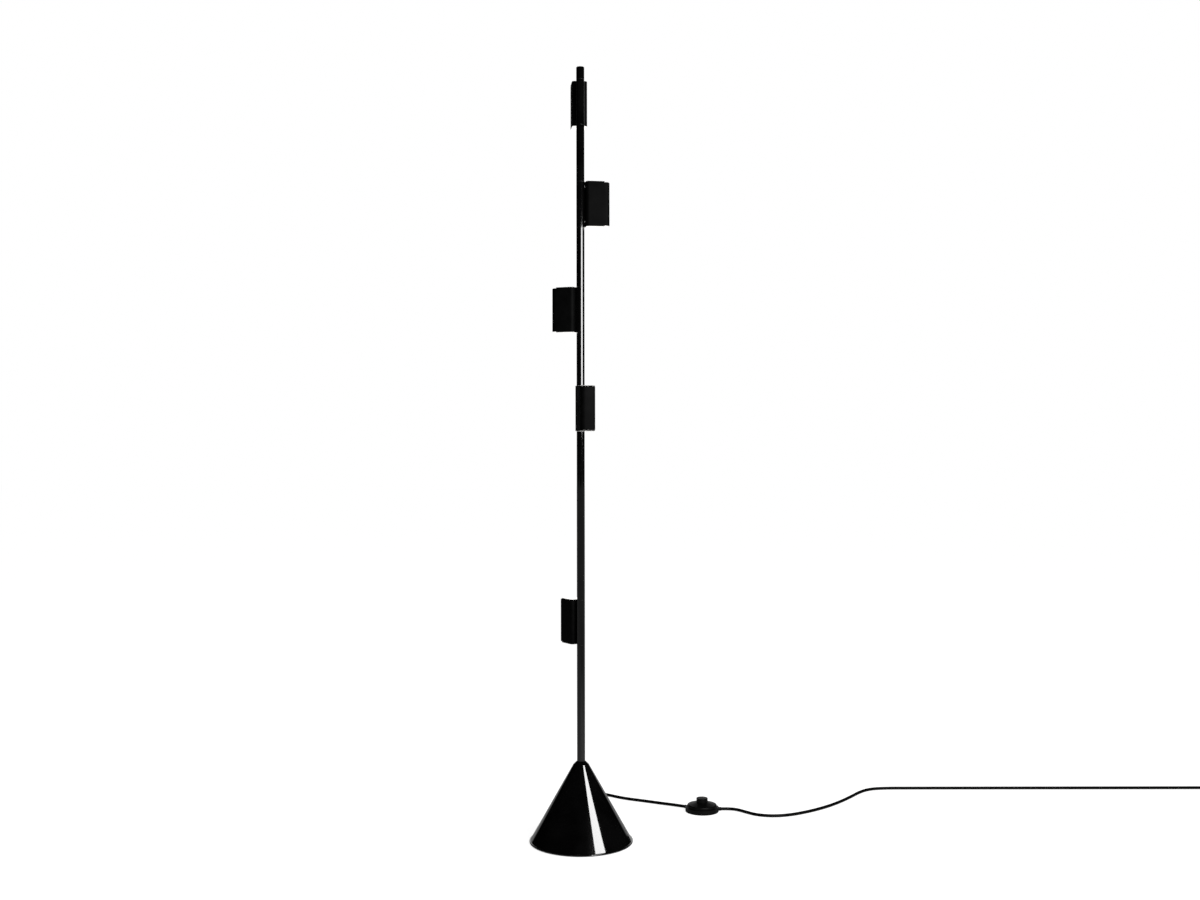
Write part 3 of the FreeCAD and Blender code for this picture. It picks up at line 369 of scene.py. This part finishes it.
HOUSING = [(wall_layers(rear_path, HOUSING_HALF, HOUSING_EDGE), 1.0)]
HOUSING += [(bar_layers(), flip) for flip in (1.0, -1.0)]
NOSE = [(wall_layers(front_path, NOSE_HALF, NOSE_EDGE), 1.0)]
REAR_PANEL = panel_layers(rear_path, HOUSING_HALF, HOUSING_COVER_INSET, BAR_START)
FRONT_PANEL = panel_layers(front_path, NOSE_HALF, NOSE_COVER_INSET, HEAD_SEAM)
PANELS = [(layers, flip) for flip in (1.0, -1.0) for layers in (REAR_PANEL, FRONT_PANEL)]

for number in range(1, len(HEADS) + 1):
    head = f"head_{number}"
    head_piece(number, f"housing_{number}", f"{head}_shell", MATTE, HOUSING)
    head_piece(number, f"nose_{number}", f"{head}_nose", MATTE, NOSE)
    head_piece(number, f"opal_ends_{number}", f"{head}_diffusers", OPAL, PANELS)


# The rest is in millimetres. The routes are the control points that the part's source
# has.
CORD_DIAMETER = 0.0065
CORD_FLOOR = 3.4
CURVE_STEPS = 8
CURVE_SIDES = 6
GLAND_HEIGHT = 14.5
SWITCH_CENTRE = (256.0, 219.0)
SWITCH_ENTRY_ANGLE = 150.0
SWITCH_EXIT_ANGLE = 2.0
SWITCH_REACH = 40.7
SWITCH_ENTRY_HEIGHT = 4.8
ENTRY_RUN = 25.6
EXIT_RUN = 20.6
WALL_LINE = 396.3
LEAD_ROUTE = (
    (0.0, 150.0, GLAND_HEIGHT),
    (-7.0, 190.0, 7.5),
    (-20.0, 236.0, CORD_FLOOR),
    (-31.0, 288.0, CORD_FLOOR),
    (-24.0, 336.0, CORD_FLOOR),
    (8.0, 362.0, CORD_FLOOR),
    (47.0, 348.0, CORD_FLOOR),
    (87.0, 313.0, CORD_FLOOR),
    (130.0, 292.0, CORD_FLOOR),
    (168.0, 272.0, CORD_FLOOR),
)
RUN_ROUTE = (
    (333.0, 215.0, 4.2),
    (350.0, 198.0, CORD_FLOOR),
    (369.0, 178.0, CORD_FLOOR),
    (402.0, 169.0, CORD_FLOOR),
    (438.0, 177.0, CORD_FLOOR),
    (477.0, 200.0, CORD_FLOOR),
    (515.0, 230.0, CORD_FLOOR),
    (552.0, 267.0, CORD_FLOOR),
    (590.0, 316.0, CORD_FLOOR),
    (624.0, 366.0, CORD_FLOOR),
    (652.0, 390.0, CORD_FLOOR),
    (690.0, WALL_LINE, CORD_FLOOR),
    (728.0, WALL_LINE, CORD_FLOOR),
    (1400.0, WALL_LINE, CORD_FLOOR),
)

COIL_CENTRE_X = 1446.0
COIL_OUTER_RADIUS = 43.3
COIL_TURN_PITCH = 7.1
COIL_LAYER_PITCH = 6.95
COIL_LAYER_TURNS = 2.375
COIL_CLIMB_TURNS = 0.5
COIL_TURNS = 2 * COIL_LAYER_TURNS + COIL_CLIMB_TURNS
COIL_POINTS_PER_TURN = 16
COIL_CENTRE = Vector((COIL_CENTRE_X, WALL_LINE - COIL_OUTER_RADIUS, CORD_FLOOR))


def stub_point(angle, reach):
    """A point on the line of one of the foot switch's cord stubs."""
    turn = math.radians(angle)
    x, y = SWITCH_CENTRE
    return Vector((x + reach * math.cos(turn), y + reach * math.sin(turn), SWITCH_ENTRY_HEIGHT))


def coil_point(turns):
    """A point of the coil's line after so many turns, wound clockwise from the rear."""
    climb_end = COIL_LAYER_TURNS + COIL_CLIMB_TURNS
    if turns <= COIL_LAYER_TURNS:
        radius, height = COIL_OUTER_RADIUS - COIL_TURN_PITCH * turns, 0.0
    elif turns >= climb_end:
        radius = COIL_OUTER_RADIUS - COIL_TURN_PITCH * (COIL_TURNS - turns)
        height = COIL_LAYER_PITCH
    else:
        share = (turns - COIL_LAYER_TURNS) / COIL_CLIMB_TURNS
        inner = COIL_OUTER_RADIUS - COIL_TURN_PITCH * COIL_LAYER_TURNS
        dip = COIL_TURN_PITCH * COIL_CLIMB_TURNS / math.pi
        radius = inner - dip * math.sin(math.pi * share)
        height = COIL_LAYER_PITCH * (1 - math.cos(math.pi * share)) / 2
    angle = math.pi / 2 - 2 * math.pi * turns
    # A spline runs inside its control points, so these lie a little further out.
    radius /= math.cos(math.pi / COIL_POINTS_PER_TURN)
    return COIL_CENTRE + Vector((radius * math.cos(angle), radius * math.sin(angle), height))


def cord_curve(name, points):
    """A round cord on one smooth spline whose control points are given in millimetres."""
    curve = bpy.data.curves.new(name, "CURVE")
    curve.dimensions = "3D"
    curve.resolution_u = CURVE_STEPS
    curve.bevel_depth = CORD_DIAMETER / 2
    curve.bevel_resolution = CURVE_SIDES
    spline = curve.splines.new("NURBS")
    spline.points.add(len(points) - 1)
    for place, point in zip(spline.points, points):
        place.co = (*(Vector(point) * MM), 1.0)
    spline.order_u = 3
    spline.use_endpoint_u = True
    spline.use_smooth = True
    curve.materials.append(SHEATH)
    return add_object(name, curve)


gland_tip = Vector((0.0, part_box("cable_gland")[1].y / MM, GLAND_HEIGHT))
switch_in = stub_point(SWITCH_ENTRY_ANGLE, SWITCH_REACH)
switch_out = stub_point(SWITCH_EXIT_ANGLE, SWITCH_REACH)

lead_points = [gland_tip, *LEAD_ROUTE]
lead_points += [stub_point(SWITCH_ENTRY_ANGLE, SWITCH_REACH + ENTRY_RUN), switch_in]
lead = cord_curve("mains_cord_lead", lead_points)
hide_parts("cord_lead")
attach(lead, "stand")

run_points = [switch_out, stub_point(SWITCH_EXIT_ANGLE, SWITCH_REACH + EXIT_RUN), *RUN_ROUTE]
coil_steps = int(COIL_TURNS * COIL_POINTS_PER_TURN)
run_points += [coil_point(step / COIL_POINTS_PER_TURN) for step in range(coil_steps + 1)]
plug_low, plug_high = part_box("plug_body")
plug_neck = ((plug_low.x + plug_high.x) / 2, plug_high.y, CORD_FLOOR * MM + COIL_LAYER_PITCH * MM)
run_points.append(Vector(plug_neck) / MM)
run = cord_curve("mains_cord_run", run_points)
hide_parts("cord_run", "cord_coil")
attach(run, "stand")


# ----------------------------------------------------------------------- stage
FLOOR_SIZE = 40.0
FLOOR_DROP = 0.0005
FLOOR_GLOW = 0.85
FLOOR_COLOUR = (0.5, 0.5, 0.5, 1.0)


def floor_material():
    """Grey paint that also glows, for camera rays only, so that it clips to white."""
    material = bpy.data.materials.new("studio_floor")
    material.use_nodes = True
    tree = material.node_tree
    tree.nodes.clear()
    output = tree.nodes.new("ShaderNodeOutputMaterial")
    rays = tree.nodes.new("ShaderNodeLightPath")
    paint = tree.nodes.new("ShaderNodeBsdfDiffuse")
    paint.inputs["Color"].default_value = FLOOR_COLOUR
    glow = tree.nodes.new("ShaderNodeEmission")
    glow.inputs["Strength"].default_value = FLOOR_GLOW
    both = tree.nodes.new("ShaderNodeAddShader")
    pick = tree.nodes.new("ShaderNodeMixShader")
    tree.links.new(paint.outputs["BSDF"], both.inputs[0])
    tree.links.new(glow.outputs["Emission"], both.inputs[1])
    tree.links.new(rays.outputs["Is Camera Ray"], pick.inputs["Fac"])
    tree.links.new(paint.outputs["BSDF"], pick.inputs[1])
    tree.links.new(both.outputs["Shader"], pick.inputs[2])
    tree.links.new(pick.outputs["Shader"], output.inputs["Surface"])
    return material


def add_floor():
    mesh = bpy.data.meshes.new("studio_floor")
    half = FLOOR_SIZE / 2
    corners = [(-half, -half, 0), (half, -half, 0), (half, half, 0), (-half, half, 0)]
    mesh.from_pydata(corners, [], [(0, 1, 2, 3)])
    mesh.materials.append(floor_material())
    thing = add_object("studio_floor", mesh)
    thing.location = (0.0, 0.0, -FLOOR_DROP)


add_floor()

WHITE = (1.0, 1.0, 1.0, 1.0)
FILL_LEVEL = 0.3
BACKDROP_LEVEL = 1.0
DARK_SIDE_LEVEL = 0.0
BACKDROP_EDGE = 0.8
BACKDROP_MIDDLE = 1.0


def studio_world():
    """White to camera and transmission rays, and a soft fill to diffuse ones.

    Glossy rays see white only straight behind the lamp, and a dark studio elsewhere.
    """
    world = bpy.data.worlds.new("studio")
    world.use_nodes = True
    tree = world.node_tree
    tree.nodes.clear()
    output = tree.nodes.new("ShaderNodeOutputWorld")
    rays = tree.nodes.new("ShaderNodeLightPath")
    coordinates = tree.nodes.new("ShaderNodeTexCoord")
    split = tree.nodes.new("ShaderNodeSeparateXYZ")
    tree.links.new(coordinates.outputs["Generated"], split.inputs["Vector"])
    behind = tree.nodes.new("ShaderNodeMapRange")
    behind.inputs["From Min"].default_value = BACKDROP_EDGE
    behind.inputs["From Max"].default_value = BACKDROP_MIDDLE
    behind.inputs["To Min"].default_value = DARK_SIDE_LEVEL
    behind.inputs["To Max"].default_value = BACKDROP_LEVEL
    tree.links.new(split.outputs["Y"], behind.inputs["Value"])
    fill = tree.nodes.new("ShaderNodeBackground")
    fill.inputs["Strength"].default_value = FILL_LEVEL
    mirrored = tree.nodes.new("ShaderNodeBackground")
    tree.links.new(behind.outputs["Result"], mirrored.inputs["Strength"])
    white = tree.nodes.new("ShaderNodeBackground")
    white.inputs["Strength"].default_value = BACKDROP_LEVEL
    for node in (fill, mirrored, white):
        node.inputs["Color"].default_value = WHITE
    gloss = tree.nodes.new("ShaderNodeMixShader")
    tree.links.new(rays.outputs["Is Glossy Ray"], gloss.inputs["Fac"])
    tree.links.new(fill.outputs["Background"], gloss.inputs[1])
    tree.links.new(mirrored.outputs["Background"], gloss.inputs[2])
    clear = tree.nodes.new("ShaderNodeMath")
    clear.operation = "MAXIMUM"
    tree.links.new(rays.outputs["Is Camera Ray"], clear.inputs[0])
    tree.links.new(rays.outputs["Is Transmission Ray"], clear.inputs[1])
    seen = tree.nodes.new("ShaderNodeMixShader")
    tree.links.new(clear.outputs["Value"], seen.inputs["Fac"])
    tree.links.new(gloss.outputs["Shader"], seen.inputs[1])
    tree.links.new(white.outputs["Background"], seen.inputs[2])
    tree.links.new(seen.outputs["Shader"], output.inputs["Surface"])
    return world


bpy.context.scene.world = studio_world()


def softbox(name, bearing, distance, height, width, tall, radiance):
    """A rectangular light, aimed level at the pole.

    The bearing is in degrees from the viewer's side towards the right, the rest in metres.
    """
    light = bpy.data.lights.new(name, "AREA")
    light.shape = "RECTANGLE"
    light.size = width
    light.size_y = tall
    light.energy = radiance * math.pi * width * tall
    turn = math.radians(bearing)
    place = Vector((distance * math.sin(turn), -distance * math.cos(turn), height))
    thing = add_object(name, light)
    thing.location = place
    aim = Vector((0.0, 0.0, height)) - place
    thing.rotation_euler = aim.to_track_quat("-Z", "Y").to_euler()


softbox("key_softbox", 48.0, distance=1.3, height=1.124, width=0.56, tall=0.6, radiance=16.0)
softbox("far_softbox", 28.0, distance=2.0, height=1.18, width=0.56, tall=0.7, radiance=15.0)
